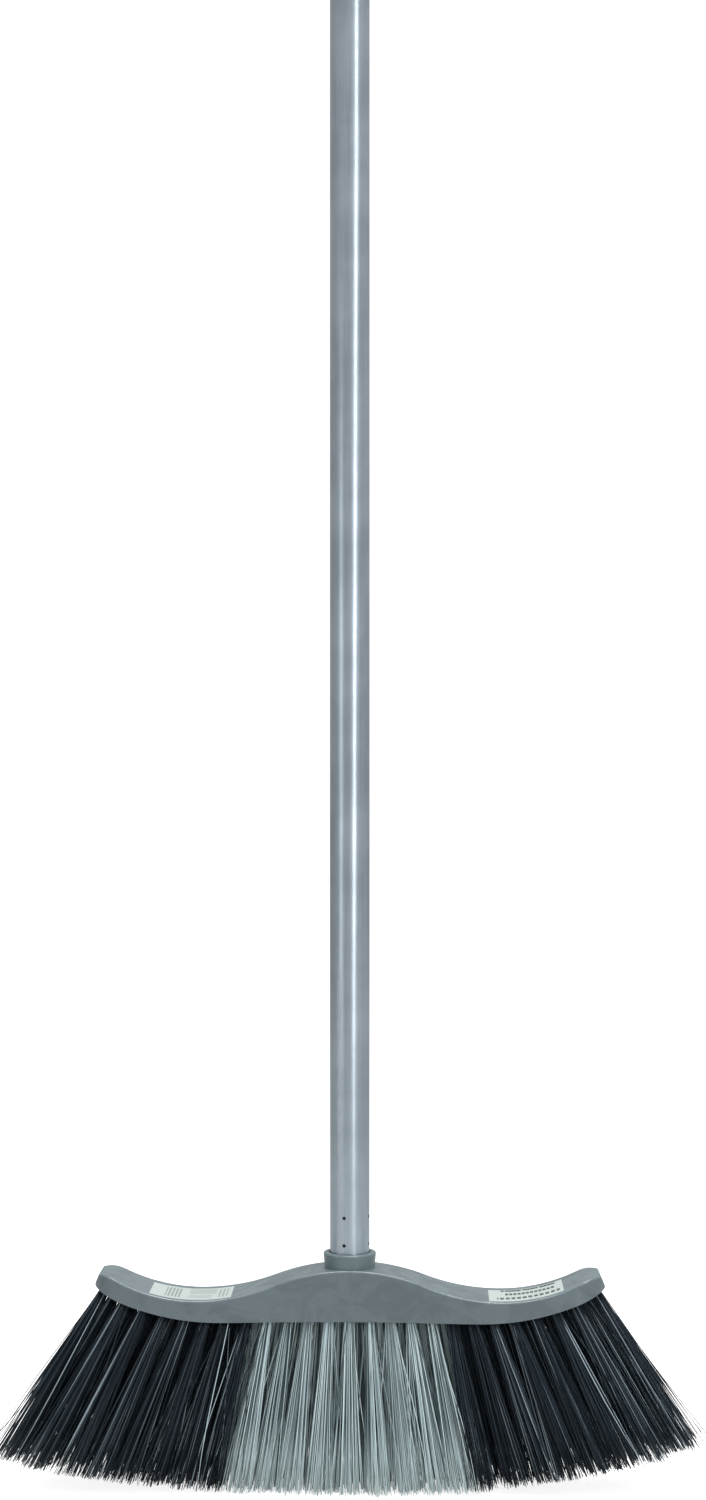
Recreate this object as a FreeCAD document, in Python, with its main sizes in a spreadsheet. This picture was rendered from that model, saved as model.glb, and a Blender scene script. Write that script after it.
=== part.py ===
import FreeCAD, Part
import math
import os
import re

import Sketcher

# Upright broom: a wave-topped moulded block with four staggered rows of fanned tufts, a screw-in
# tubular handle and a swivelling hanger.  Millimetres, +Z up, +X along the block, -Y is the front.
# The origin is on the handle's axis, at the lowest tip of the trimmed bristles.

V = FreeCAD.Vector
doc = FreeCAD.newDocument("UprightBroom")

# name, value, what it is
SIZES = [
    ("block_length", 283.0, "block, end to end"),
    ("block_height", 28.0, "crest of the wave above the flat bottom"),
    ("valley_height", 12.0, "lowest point of the wave above the flat bottom"),
    ("wing_run", 57.5, "valley to the block's end"),
    ("wing_radius", 95.0, "hollow of the top between the valley and the end"),
    ("end_radius", 20.0, "swell of the top towards the block's end"),
    ("end_crest", 4.2, "highest point of that swell, from the block's end"),
    ("end_lean", 3.3, "how far the end face leans in at its top"),
    ("ramp_run", 71.0, "where the bottom starts to rise, from the block's end"),
    ("ramp_rise", 17.8, "rise of the bottom at the block's end"),
    ("waist_wall", 2.0, "block left in front of and behind the collar, which sets its narrow middle"),
    ("bulge_depth", 41.0, "greatest depth of the block"),
    ("bulge_run", 46.5, "greatest depth to the block's end"),
    ("corner_radius", 18.0, "rounded ends of the block in plan"),
    ("top_edge_radius", 1.2, "rounding along the top edges"),
    ("trim_length", 94.0, "bristle tips to the block's flat bottom"),
    ("trim_radius", 850.0, "arc that the bristle tips are trimmed to"),
    ("tuft_web", 6.1, "block left between neighbouring holes along a row"),
    ("end_wall", 2.9, "least wall between the last hole and the block's end"),
    ("row_wall", 2.2, "block left outside the outer rows' holes"),
    ("light_columns", 9.0, "columns of light grey tufts at the middle"),
    ("fan_angle", 31.0, "lean of the last tuft in degrees"),
    ("row_splay", 3.5, "lean of the outer rows to front and back in degrees"),
    ("hole_radius", 2.6, "tuft hole"),
    ("hole_depth", 8.5, "tuft hole, along its axis"),
    ("tuft_clearance", 0.05, "between a packed tuft and its hole"),
    ("tuft_seat", 7.2, "depth of the packed part of a tuft"),
    ("tuft_spread", 1.49, "flare of a tuft in degrees, all round"),
    ("flare_start", 1.5, "where a tuft begins to spread, below the block"),
    ("anchor_bite", 0.5, "how far an anchor's ends press into the hole's wall"),
    ("anchor_width", 1.6, "anchor wire, flat width"),
    ("anchor_thickness", 0.7, "anchor wire, thickness"),
    ("anchor_gap", 0.02, "between a packed tuft and its anchor"),
    ("collar_rise", 8.0, "collar's rim above the block's crest"),
    ("rim_wall", 3.0, "collar's wall at its rim"),
    ("collar_taper", 0.6, "how much narrower the collar is at its foot, in radius"),
    ("collar_seat", 1.5, "how deep the collar's foot is let into the crest"),
    ("insert_step", 1.0, "collar's foot beyond the part of the socket inside the block"),
    ("insert_floor", 14.0, "block left under the socket"),
    ("socket_clearance", 0.05, "between the socket and the block"),
    ("rim_round", 1.0, "rounded rim of the collar"),
    ("mouth_clearance", 0.6, "between the tube and the collar's mouth"),
    ("mouth_depth", 6.0, "how deep the collar's mouth is"),
    ("seat_gap", 0.3, "tube's end above the mouth's floor"),
    ("thread_pitch", 5.08, "handle thread, one start, right-hand"),
    ("thread_step", 1.5, "tube's outside to the crest of the handle's thread"),
    ("thread_depth", 1.6, "height of the thread ridge"),
    ("thread_root", 2.6, "width of the ridge at its root"),
    ("thread_crest", 1.2, "width of the ridge at its crest"),
    ("thread_clearance", 0.3, "play between the two threads"),
    ("thread_turns", 2.25, "turns of ridge on the handle's tip"),
    ("groove_overrun", 2.25, "turns that the socket's groove is longer than the ridge"),
    ("ridge_bite", 0.6, "how deep the ridge is rooted in the tip's core"),
    ("thread_lead_in", 1.4, "plain nose of the tip below the ridge"),
    ("tip_reach", 15.0, "tip below the tube's end"),
    ("tip_shank", 30.0, "tip inside the tube"),
    ("tip_wall", 2.4, "wall of the hollow tip at its core"),
    ("tip_shank_wall", 2.0, "wall of the hollow tip inside the tube"),
    ("tube_radius", 11.0, "handle tube, outside"),
    ("tube_wall", 0.5, "handle tube"),
    ("tube_length", 1180.0, "handle tube"),
    ("liner_clearance", 0.05, "between the tube's bore and what is pressed into it"),
    ("stake_radius", 0.6, "stake punched through the tube into the tip"),
    ("stake_depth", 1.3, "stake, from the tube's outside"),
    ("stake_low", 10.6, "lower ring of stakes above the tube's end"),
    ("stake_spacing", 15.2, "between the two rings of stakes"),
    ("stake_turn", -105.0, "first stake, in degrees from +X"),
    ("cap_inset", 0.2, "end plug's head inside the tube's outside"),
    ("cap_height", 4.0, "end plug's head above the tube"),
    ("cap_round", 1.5, "rounded edge of the end plug"),
    ("plug_reach", 22.0, "end plug inside the tube"),
    ("plug_web", 8.0, "thickness that the hanger's stem passes through"),
    ("plug_wall", 2.4, "wall of the end plug below its web"),
    ("stem_radius", 3.0, "hanger's stem"),
    ("stem_clearance", 0.05, "between the stem and the plug's bore"),
    ("swivel_gap", 0.3, "play of the hanger along its axis, above and below the plug"),
    ("snap_ledge", 1.0, "snap head beyond the stem, below the web"),
    ("snap_taper", 1.6, "how much narrower the snap head's nose is, in radius"),
    ("snap_height", 3.6, "snap head"),
    ("foot_ledge", 2.0, "hanger's round foot beyond its stem"),
    ("foot_height", 1.5, "hanger's round foot on the plug"),
    ("eye_radius", 9.5, "outside of the hanger's eye"),
    ("hang_hole_radius", 5.0, "hole in the hanger's eye"),
    ("eye_thickness", 4.0, "hanger's eye"),
    ("label_thickness", 0.15, "self-adhesive label"),
    ("label_gap", 0.02, "adhesive between a label and the block"),
    ("label_width", 30.0, "label, front to back"),
    ("label_offset", 2.5, "label's centre line in front of the block's"),
    ("left_label_inner", 19.0, "left label, from the valley towards the handle"),
    ("left_label_outer", 26.0, "left label, from the valley towards the end"),
    ("right_label_inner", 7.0, "right label, from the valley towards the handle"),
    ("right_label_outer", 34.0, "right label, from the valley towards the end"),
]

sheet = doc.addObject("Spreadsheet::Sheet", "Sizes")
for number, (alias, value, meaning) in enumerate(SIZES, start=1):
    sheet.set("A%d" % number, alias)
    sheet.set("B%d" % number, str(value))
    sheet.set("C%d" % number, meaning)
    sheet.setAlias("B%d" % number, alias)
doc.recompute()

ALIAS = re.compile(r"\b(%s)\b" % "|".join(alias for alias, value, meaning in SIZES))


def size(alias):
    return float(sheet.get(alias))


def bound(expression):
    return ALIAS.sub(r"Sizes.\1", expression)


def value_of(expression):
    return float(sheet.evalExpression(ALIAS.sub(r"\1", expression)))


# ---- helpers for bodies and sketches ----

def new_body(name, lift="0", shift="0"):
    # lift and shift place the body along Z and Y
    body = doc.addObject("PartDesign::Body", name)
    body.setExpression("Placement.Base.z", bound(lift))
    body.setExpression("Placement.Base.y", bound(shift))
    return body


def new_sketch(body, name, plane):
    sketch = body.newObject("Sketcher::SketchObject", name)
    support = [f for f in body.Origin.OriginFeatures if f.Role == plane][0]
    sketch.AttachmentSupport = [(support, "")]
    sketch.MapMode = "FlatFace"
    return sketch


def pin_point(sketch, geometry, end, across, up):
    # fixes one end of a line or arc to a pair of expressions, measured from the sketch's origin
    for kind, expression in (("DistanceX", across), ("DistanceY", up)):
        number = sketch.addConstraint(
            Sketcher.Constraint(kind, -1, 1, geometry, end, value_of(expression)))
        sketch.setExpression("Constraints[%d]" % number, bound(expression))


def draw_outline(sketch, corners, bends=None):
    # corners are pairs of expressions; bends gives, for the side that starts at a corner, the
    # radius and +1 where its centre is to the left of the way along, -1 where it is to the right
    bends = bends or {}
    points = [V(value_of(across), value_of(up), 0) for across, up in corners]
    for index, start in enumerate(points):
        finish = points[(index + 1) % len(points)]
        if index not in bends:
            number = sketch.addGeometry(Part.LineSegment(start, finish), False)
            first, last = 1, 2
        else:
            radius_words, side = bends[index]
            radius = value_of(radius_words)
            chord = finish - start
            left = V(-chord.y, chord.x, 0).normalize()
            rise = math.sqrt(radius ** 2 - (chord.Length / 2) ** 2)
            centre = (start + finish) * 0.5 + left * rise * side
            angles = [math.atan2(p.y - centre.y, p.x - centre.x) for p in (start, finish)]
            first, last = (1, 2) if side > 0 else (2, 1)
            if side < 0:
                angles.reverse()
            circle = Part.Circle(centre, V(0, 0, 1), radius)
            number = sketch.addGeometry(Part.ArcOfCircle(circle, angles[0], angles[1]), False)
            limit = sketch.addConstraint(Sketcher.Constraint("Radius", number, radius))
            sketch.setExpression("Constraints[%d]" % limit, bound(radius_words))
        across, up = corners[index]
        pin_point(sketch, number, first, across, up)
        if index > 0:
            sketch.addConstraint(Sketcher.Constraint("Coincident", index - 1, ends[-1], number, first))
            ends.append(last)
        else:
            ends = [last]
    last_side = len(points) - 1
    opening = 1 if 0 not in bends or bends[0][1] > 0 else 2
    sketch.addConstraint(Sketcher.Constraint("Coincident", last_side, ends[-1], 0, opening))


def draw_circle(sketch, radius, across="0", up="0"):
    centre = V(value_of(across), value_of(up), 0)
    number = sketch.addGeometry(Part.Circle(centre, V(0, 0, 1), value_of(radius)), False)
    pin_point(sketch, number, 3, across, up)
    limit = sketch.addConstraint(Sketcher.Constraint("Radius", number, value_of(radius)))
    sketch.setExpression("Constraints[%d]" % limit, bound(radius))


def revolve(body, name, corners, bends=None):
    sketch = new_sketch(body, name + "_section", "XZ_Plane")
    draw_outline(sketch, corners, bends)
    turned = body.newObject("PartDesign::Revolution", name)
    turned.Profile = sketch
    turned.ReferenceAxis = (sketch, ["V_Axis"])
    turned.Angle = 360
    doc.recompute()
    return turned


def pad(body, sketch, name, length):
    feature = body.newObject("PartDesign::Pad", name)
    feature.Profile = sketch
    feature.setExpression("Length", bound(length))
    feature.Midplane = True
    doc.recompute()
    return feature


def helix(body, kind, name, corners, turns):
    # a thread ridge or groove about the body's own Z axis
    sketch = new_sketch(body, name + "_section", "XZ_Plane")
    draw_outline(sketch, corners)
    feature = body.newObject("PartDesign::" + kind, name)
    feature.Profile = sketch
    feature.ReferenceAxis = (sketch, ["V_Axis"])
    feature.Mode = "pitch-turns-angle"
    feature.setExpression("Pitch", bound("thread_pitch"))
    feature.setExpression("Turns", bound(turns))
    doc.recompute()
    return feature


def named(thing, node):
    thing.Label = node
    nodes.append(thing)
    return thing


nodes = []

# ---- levels above the bristle tips ----
BLOCK_LEVEL = "trim_length"
RIM_LEVEL = "(trim_length + block_height + collar_rise)"
TUBE_LEVEL = "(%s - mouth_depth + seat_gap)" % RIM_LEVEL
TOP_LEVEL = "(%s + tube_length)" % TUBE_LEVEL

# ---- radii that follow the tube ----
MOUTH = "(tube_radius + mouth_clearance)"
RIM = "(%s + rim_wall)" % MOUTH
COLLAR = "(%s - collar_taper)" % RIM
INSERT = "(%s - insert_step)" % COLLAR
SHANK = "(tube_radius - tube_wall - liner_clearance)"
CREST = "(tube_radius - thread_step)"
CORE = "(%s - thread_depth)" % CREST

# ---- block ----
HALF = "(block_length/2)"
VALLEY = "(%s - wing_run)" % HALF
DROP = "(block_height - valley_height)"
WAVE_RADIUS = "((%s^2 + %s^2) / (4*%s))" % (VALLEY, DROP, DROP)
SWELL_RUN = "(wing_run - end_crest)"
SWELL_LEVEL = ("(valley_height + wing_radius"
               " - sqrt((wing_radius + end_radius)^2 - %s^2))" % SWELL_RUN)
WING_SHARE = "(wing_radius / (wing_radius + end_radius))"
FACE_TOP = "(%s + sqrt(end_radius^2 - (end_crest - end_lean)^2))" % SWELL_LEVEL
RAMP_FOOT = "(%s - ramp_run)" % HALF
RAMP_RADIUS = "((ramp_run^2 + ramp_rise^2) / (2*ramp_rise))"
WAIST = "(%s + waist_wall)" % COLLAR
BULGE = "(bulge_depth/2)"
BULGE_PLACE = "(%s - bulge_run)" % HALF
SWELL = "(%s - %s)" % (BULGE, WAIST)
PLAN_RADIUS = "((%s^2 + %s^2) / (4*%s))" % (BULGE_PLACE, SWELL, SWELL)
CORNER_PLACE = "(%s - corner_radius)" % HALF
CORNER_DEPTH = ("(%s - %s + sqrt((%s - corner_radius)^2 - (bulge_run - corner_radius)^2))"
                % (BULGE, PLAN_RADIUS, PLAN_RADIUS))
PLAN_SHARE = "(%s / (%s - corner_radius))" % (PLAN_RADIUS, PLAN_RADIUS)

# ---- tuft holes ----
TUFT_PITCH = "(2*hole_radius + tuft_web)"
TUFT_REACH = "(%s - hole_radius - end_wall)" % HALF
ROW_MARGIN = "(hole_radius + row_wall)"


def half_block():
    # one half, from the handle's axis to the end: the wave profile padded across the block,
    # then everything outside the plan cut away
    body = new_body("HalfBlock", BLOCK_LEVEL)
    front = new_sketch(body, "WaveProfile", "XZ_Plane")
    draw_outline(
        front,
        [("0", "block_height"),
         ("%s/2" % VALLEY, "(block_height + valley_height)/2"),
         (VALLEY, "valley_height"),
         ("%s + %s*%s" % (VALLEY, SWELL_RUN, WING_SHARE),
          "valley_height + wing_radius - (valley_height + wing_radius - %s)*%s"
          % (SWELL_LEVEL, WING_SHARE)),
         ("%s - end_lean" % HALF, FACE_TOP),
         (HALF, "ramp_rise"),
         (RAMP_FOOT, "0"),
         ("0", "0")],
        {0: (WAVE_RADIUS, -1), 1: (WAVE_RADIUS, 1), 2: ("wing_radius", 1),
         3: ("end_radius", -1), 5: (RAMP_RADIUS, -1)})
    blank = pad(body, front, "Blank", "2*bulge_depth")
    blank_volume = blank.Shape.Volume
    plan = new_sketch(body, "Plan", "XY_Plane")
    border = "(%s + bulge_depth)" % HALF
    tangent_place = "(%s + (bulge_run - corner_radius)*%s)" % (BULGE_PLACE, PLAN_SHARE)
    tangent_depth = ("(%s - %s + (%s - %s + %s)*%s)"
                     % (BULGE, PLAN_RADIUS, CORNER_DEPTH, BULGE, PLAN_RADIUS, PLAN_SHARE))
    half_way = "(%s/2)" % BULGE_PLACE
    mean_depth = "((%s + %s)/2)" % (WAIST, BULGE)
    draw_outline(
        plan,
        [("0", WAIST), (half_way, mean_depth), (tangent_place, tangent_depth),
         (HALF, CORNER_DEPTH), (HALF, "-" + CORNER_DEPTH),
         (tangent_place, "-" + tangent_depth), (half_way, "-" + mean_depth), ("0", "-" + WAIST),
         ("0", "-2*bulge_depth"), (border, "-2*bulge_depth"),
         (border, "2*bulge_depth"), ("0", "2*bulge_depth")],
        {0: (PLAN_RADIUS, 1), 1: (PLAN_RADIUS, -1), 2: ("corner_radius", -1),
         4: ("corner_radius", -1), 5: (PLAN_RADIUS, -1), 6: (PLAN_RADIUS, 1)})
    sides = body.newObject("PartDesign::Pocket", "Sides")
    sides.Profile = plan
    sides.Type = "ThroughAll"
    sides.Midplane = True
    doc.recompute()
    # the blank was twice as wide as the block, so less than half of it is left
    if sides.Shape.Volume > blank_volume / 2:
        raise RuntimeError("the plan did not trim the block")
    round_top(body, sides)
    return body


def round_top(body, base):
    # rounds the long edges between the sides and the top
    picked = []
    for number, edge in enumerate(base.Shape.Edges, start=1):
        middle = edge.valueAt((edge.FirstParameter + edge.LastParameter) / 2)
        if edge.BoundBox.XLength < 1e-4:
            continue
        place = min(middle.x, size("block_length") / 2 - size("end_lean"))
        height = middle.z - base.Shape.BoundBox.ZMin
        if height > (bottom_height(place) + top_height(place)) / 2:
            picked.append("Edge%d" % number)
    fillet = body.newObject("PartDesign::Fillet", "TopRounding")
    fillet.Base = (base, picked)
    fillet.setExpression("Radius", bound("top_edge_radius"))
    doc.recompute()


def bottom_height(place):
    # the block's underside above its flat bottom, at a distance from the handle
    reach = abs(place) - value_of(RAMP_FOOT)
    if reach <= 0:
        return 0.0
    radius = value_of(RAMP_RADIUS)
    return radius - math.sqrt(radius ** 2 - reach ** 2)


def top_height(place):
    # the block's top above its flat bottom, at a distance from the handle
    valley = value_of(VALLEY)
    wave = value_of(WAVE_RADIUS)
    wing = size("wing_radius")
    if place < valley / 2:
        return size("block_height") - wave + math.sqrt(wave ** 2 - place ** 2)
    if place < valley:
        return size("valley_height") + wave - math.sqrt(wave ** 2 - (valley - place) ** 2)
    if place < valley + value_of(SWELL_RUN) * value_of(WING_SHARE):
        return size("valley_height") + wing - math.sqrt(wing ** 2 - (place - valley) ** 2)
    over = place - valley - value_of(SWELL_RUN)
    return value_of(SWELL_LEVEL) + math.sqrt(size("end_radius") ** 2 - over ** 2)


def row_reach(place):
    # how far from the centre line an outer hole may lie: the plan, moved inwards by the margin
    place = abs(place)
    margin = value_of(ROW_MARGIN)
    radius = value_of(PLAN_RADIUS)
    centre = value_of(CORNER_PLACE)
    bulge_place = value_of(BULGE_PLACE)
    if place < bulge_place / 2:
        return value_of(WAIST) + radius - math.sqrt(radius ** 2 - place ** 2) - margin
    if place < centre:
        run = place - bulge_place
        return value_of(BULGE) - radius + math.sqrt(radius ** 2 - run ** 2) - margin
    corner = size("corner_radius") - margin
    return value_of(CORNER_DEPTH) + math.sqrt(max(corner ** 2 - (place - centre) ** 2, 0.0))


# ---- tufts: where each one is rooted and which way it leans ----
ROWS = ("front", "inner_front", "inner_back", "back")


def columns(row):
    # the front and inner back rows have a tuft on the handle's line, the other two lie between
    pitch = value_of(TUFT_PITCH)
    last = int(value_of(TUFT_REACH) / pitch)
    if row % 2 == 0:
        return [(step, step * pitch) for step in range(-last, last + 1)]
    return [(step + 0.5, (step + 0.5) * pitch) for step in range(-last, last)]


def zone_of(step):
    if abs(step) <= size("light_columns") / 2:
        return "centre"
    return "left" if step < 0 else "right"


def tuft_frame(row, place):
    # the mouth of the hole and the way down the tuft, turned about Y for the fan and X for the row
    share = (row - 1.5) / 1.5
    mouth = V(place, share * row_reach(place), size("trim_length") + bottom_height(place))
    fan = FreeCAD.Rotation(V(0, 1, 0), -size("fan_angle") * place / value_of(TUFT_REACH))
    splay = FreeCAD.Rotation(V(1, 0, 0), size("row_splay") * share)
    return FreeCAD.Placement(mouth, fan.multiply(splay))


def tuft_shape(row, place, offcut):
    # a packed root in the hole and a spreading brush below it, cut to the trim
    root = size("hole_radius") - size("tuft_clearance")
    flare = -size("flare_start")
    length = size("trim_length") + size("block_height")
    tip_radius = root + length * math.tan(math.radians(size("tuft_spread")))
    packed = Part.makeCylinder(root, size("tuft_seat") - flare, V(0, 0, flare))
    brush = Part.makeCone(tip_radius, root, length, V(0, 0, flare - length))
    tuft = packed.fuse(brush)
    # the seam of the round faces is turned away from the block's middle
    if row >= len(ROWS) / 2:
        tuft.rotate(V(0, 0, 0), V(0, 0, 1), 180)
    tuft.Placement = tuft_frame(row, place).multiply(tuft.Placement)
    return tuft.cut(offcut)


def trim_shape():
    # what lies below the arc that the bristles are cut to
    reach = size("block_length")
    level = size("trim_radius") - math.sqrt(size("trim_radius") ** 2 - reach ** 2)
    depth = -size("trim_length")
    cut = Part.Arc(V(-reach, 0, level), V(0, 0, 0), V(reach, 0, level)).toShape()
    rest = Part.makePolygon([V(reach, 0, level), V(reach, 0, depth), V(-reach, 0, depth),
                             V(-reach, 0, level)])
    offcut = Part.Face(Part.Wire([cut] + rest.Edges))
    offcut.translate(V(0, -size("bulge_depth") * 2, 0))
    return offcut.extrude(V(0, size("bulge_depth") * 4, 0))


def add_tufts():
    offcut = trim_shape()
    for row, row_name in enumerate(ROWS):
        for zone in ("left", "centre", "right"):
            solids = [tuft_shape(row, place, offcut).Solids[0]
                      for step, place in columns(row) if zone_of(step) == zone]
            feature = doc.addObject("Part::Feature", "Tufts")
            feature.Shape = Part.makeCompound(solids)
            named(feature, "tufts_%s_%s" % (row_name, zone))


def add_anchors():
    # a flat wire pressed across the bottom of each hole, over the folded filaments
    length = 2 * (size("hole_radius") + size("anchor_bite"))
    for row, row_name in enumerate(ROWS):
        solids = []
        for step, place in columns(row):
            corner = V(-length / 2, -size("anchor_width") / 2, size("tuft_seat") + size("anchor_gap"))
            wire = Part.makeBox(length, size("anchor_width"), size("anchor_thickness"), corner)
            wire.Placement = tuft_frame(row, place)
            solids.append(wire)
        feature = doc.addObject("Part::Feature", "Anchors")
        feature.Shape = Part.makeCompound(solids)
        named(feature, "anchors_" + row_name)


def tuft_holes():
    drills = []
    for row in range(len(ROWS)):
        for step, place in columns(row):
            length = size("hole_depth") + size("hole_radius") * 2
            start = V(0, 0, size("hole_depth") - length)
            drill = Part.makeCylinder(size("hole_radius"), length, start)
            drill.Placement = tuft_frame(row, place)
            drills.append(drill)
    feature = doc.addObject("Part::Feature", "TuftHoles")
    feature.Shape = Part.makeCompound(drills)
    return feature


def socket_recess():
    # stepped recess that the socket is let into
    body = new_body("SocketRecess", BLOCK_LEVEL)
    revolve(body, "Recess",
            [("0", "insert_floor"),
             (INSERT + " + socket_clearance", "insert_floor"),
             (INSERT + " + socket_clearance", "block_height - collar_seat"),
             (COLLAR + " + socket_clearance", "block_height - collar_seat"),
             (COLLAR + " + socket_clearance", "block_height + collar_rise"),
             ("0", "block_height + collar_rise")])
    return body


def add_block():
    half = half_block()
    other = doc.addObject("Part::Mirroring", "OtherHalf")
    other.Source = half
    other.Normal = V(1, 0, 0)
    whole = doc.addObject("Part::Fuse", "BlockBlank")
    whole.Base = half
    whole.Tool = other
    whole.Refine = True
    seated = doc.addObject("Part::Cut", "BlockWithRecess")
    seated.Base = whole
    seated.Tool = socket_recess()
    block = doc.addObject("Part::Cut", "Block")
    block.Base = seated
    block.Tool = tuft_holes()
    named(block, "broom_block")


# ---- threads ----
# both threads start on the same side; the socket's groove starts one pitch lower than the ridge
RIDGE_LEVEL = "(thread_lead_in - tip_reach)"
FLANK = "((thread_root - thread_crest)/2/thread_depth)"


def add_socket():
    # the level of the body's own origin is the tube's end, as on the threaded tip
    body = new_body("Socket", TUBE_LEVEL)
    floor = "(-seat_gap)"
    rim = "(mouth_depth - seat_gap)"
    foot = "(%s - collar_rise - collar_seat)" % rim
    base = "(%s - collar_rise - block_height + insert_floor)" % rim
    bore = "(%s + thread_clearance)" % CORE
    revolve(body, "SocketTurned",
            [(bore, base), (INSERT, base), (INSERT, foot), (COLLAR, foot),
             (COLLAR, foot + " + collar_seat"), (RIM, rim + " - rim_round"),
             (RIM + " - rim_round", rim), (MOUTH, rim), (MOUTH, floor), (bore, floor)],
            {5: ("rim_round", 1)})
    groove_crest = "(%s + thread_clearance)" % CREST
    inner = "(%s - thread_clearance)" % bore
    wide = "(thread_root/2 + thread_clearance)"
    narrow = "(%s - (%s - %s)*%s)" % (wide, groove_crest, CORE, FLANK)
    centre = "(%s - thread_pitch)" % RIDGE_LEVEL
    before = body.Shape.Volume
    helix(body, "SubtractiveHelix", "SocketThread",
          [(inner, centre + " - " + wide), (groove_crest, centre + " - " + narrow),
           (groove_crest, centre + " + " + narrow), (inner, centre + " + " + wide)],
          "thread_turns + groove_overrun")
    if not body.Shape.Volume < before:
        raise RuntimeError("the socket's thread cut nothing")
    named(body, "handle_socket")


def stakes():
    # two rings of four stakes, punched through the tube into the tip
    tools = []
    for ring in range(2):
        for quarter in range(4):
            angle = math.radians(size("stake_turn") + 90 * quarter)
            outward = V(math.cos(angle), math.sin(angle), 0)
            level = value_of(TUBE_LEVEL) + size("stake_low") + ring * size("stake_spacing")
            start = outward * (size("tube_radius") - size("stake_depth")) + V(0, 0, level)
            punch = doc.addObject("Part::Cylinder", "Stake")
            punch.setExpression("Radius", bound("stake_radius"))
            punch.setExpression("Height", bound("2*stake_depth"))
            punch.Placement = FreeCAD.Placement(start, FreeCAD.Rotation(V(0, 0, 1), outward))
            tools.append(punch)
    group = doc.addObject("Part::Compound", "Stakes")
    group.Links = tools
    return group


def add_tube(punches):
    body = new_body("TubeBlank", TUBE_LEVEL)
    ring = new_sketch(body, "TubeSection", "XY_Plane")
    draw_circle(ring, "tube_radius")
    draw_circle(ring, "tube_radius - tube_wall")
    wall = body.newObject("PartDesign::Pad", "TubeWall")
    wall.Profile = ring
    wall.setExpression("Length", bound("tube_length"))
    tube = doc.addObject("Part::Cut", "Tube")
    tube.Base = body
    tube.Tool = punches
    named(tube, "handle_tube")


def add_tip(punches):
    body = new_body("TipBlank", TUBE_LEVEL)
    hollow = "(%s - tip_wall)" % CORE
    wide_hollow = "(%s - tip_shank_wall)" % SHANK
    revolve(body, "TipTurned",
            [("0", "-tip_reach"), (CORE, "-tip_reach"), (CORE, "0"), (SHANK, "0"),
             (SHANK, "tip_shank"), (wide_hollow, "tip_shank"), (wide_hollow, "tip_wall"),
             (hollow, "tip_wall"), (hollow, "tip_wall - tip_reach"), ("0", "tip_wall - tip_reach")])
    root = "(%s - ridge_bite)" % CORE
    wide = "(thread_root/2)"
    narrow = "(thread_crest/2)"
    before = body.Shape.Volume
    helix(body, "AdditiveHelix", "TipThread",
          [(root, RIDGE_LEVEL + " - " + wide), (CORE, RIDGE_LEVEL + " - " + wide),
           (CREST, RIDGE_LEVEL + " - " + narrow), (CREST, RIDGE_LEVEL + " + " + narrow),
           (CORE, RIDGE_LEVEL + " + " + wide), (root, RIDGE_LEVEL + " + " + wide)],
          "thread_turns")
    if not body.Shape.Volume > before:
        raise RuntimeError("the tip's thread added nothing")
    tip = doc.addObject("Part::Cut", "Tip")
    tip.Base = body
    tip.Tool = punches
    named(tip, "threaded_tip")


def add_plug():
    body = new_body("EndPlug", TOP_LEVEL)
    bore = "(stem_radius + stem_clearance)"
    cap = "(tube_radius - cap_inset)"
    revolve(body, "PlugTurned",
            [(bore, "cap_height - plug_web"), (bore, "cap_height"),
             (cap + " - cap_round", "cap_height"), (cap, "cap_height - cap_round"),
             (cap, "0"), (SHANK, "0"), (SHANK, "-plug_reach"),
             (SHANK + " - plug_wall", "-plug_reach"),
             (SHANK + " - plug_wall", "cap_height - plug_web")],
            {2: ("cap_round", -1)})
    named(body, "end_plug")


def add_hanger():
    # the body's own origin is the underside of its round foot
    body = new_body("Hanger", TOP_LEVEL + " + cap_height + swivel_gap")
    neck = "(-plug_web - 2*swivel_gap)"
    snap = "(stem_radius + snap_ledge)"
    foot = "(stem_radius + foot_ledge)"
    revolve(body, "Stem",
            [("0", "foot_height"), ("0", neck + " - snap_height"),
             (snap + " - snap_taper", neck + " - snap_height"), (snap, neck),
             ("stem_radius", neck), ("stem_radius", "0"), (foot, "0"), (foot, "foot_height")])
    eye = new_sketch(body, "EyeSection", "XZ_Plane")
    centre = "(eye_radius + foot_height/2)"
    draw_circle(eye, "eye_radius", "0", centre)
    draw_circle(eye, "hang_hole_radius", "0", centre)
    pad(body, eye, "Eye", "eye_thickness")
    named(body, "hanger_eye")


def label_height(place, lift):
    # the block's top at a place on the wave's inner or outer side, lifted along its normal
    inner = "%s - sqrt((%s - %s)^2 - (%s - %s)^2)" % (WAVE_RADIUS, WAVE_RADIUS, lift, VALLEY, place)
    outer = "wing_radius - sqrt((wing_radius - %s)^2 - (%s - %s)^2)" % (lift, place, VALLEY)
    side = inner if value_of(place) < value_of(VALLEY) else outer
    return "valley_height + " + side


def add_label(node, inner, outer, turn):
    # a thin strip that follows the valley; the left one is drawn on the right and turned half round
    body = new_body("Label", BLOCK_LEVEL, "-label_offset")
    near = "(%s - %s)" % (VALLEY, inner)
    far = "(%s + %s)" % (VALLEY, outer)
    low = "label_gap"
    high = "(label_gap + label_thickness)"
    strip = new_sketch(body, "Strip", "XZ_Plane")
    draw_outline(
        strip,
        [(near, label_height(near, low)), (VALLEY, "valley_height + " + low),
         (far, label_height(far, low)), (far, label_height(far, high)),
         (VALLEY, "valley_height + " + high), (near, label_height(near, high))],
        {0: (WAVE_RADIUS + " - " + low, 1), 1: ("wing_radius - " + low, 1),
         3: ("wing_radius - " + high, -1), 4: (WAVE_RADIUS + " - " + high, -1)})
    pad(body, strip, "LabelStock", "label_width")
    body.Placement.Rotation = FreeCAD.Rotation(V(0, 0, 1), turn)
    named(body, node)


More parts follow.
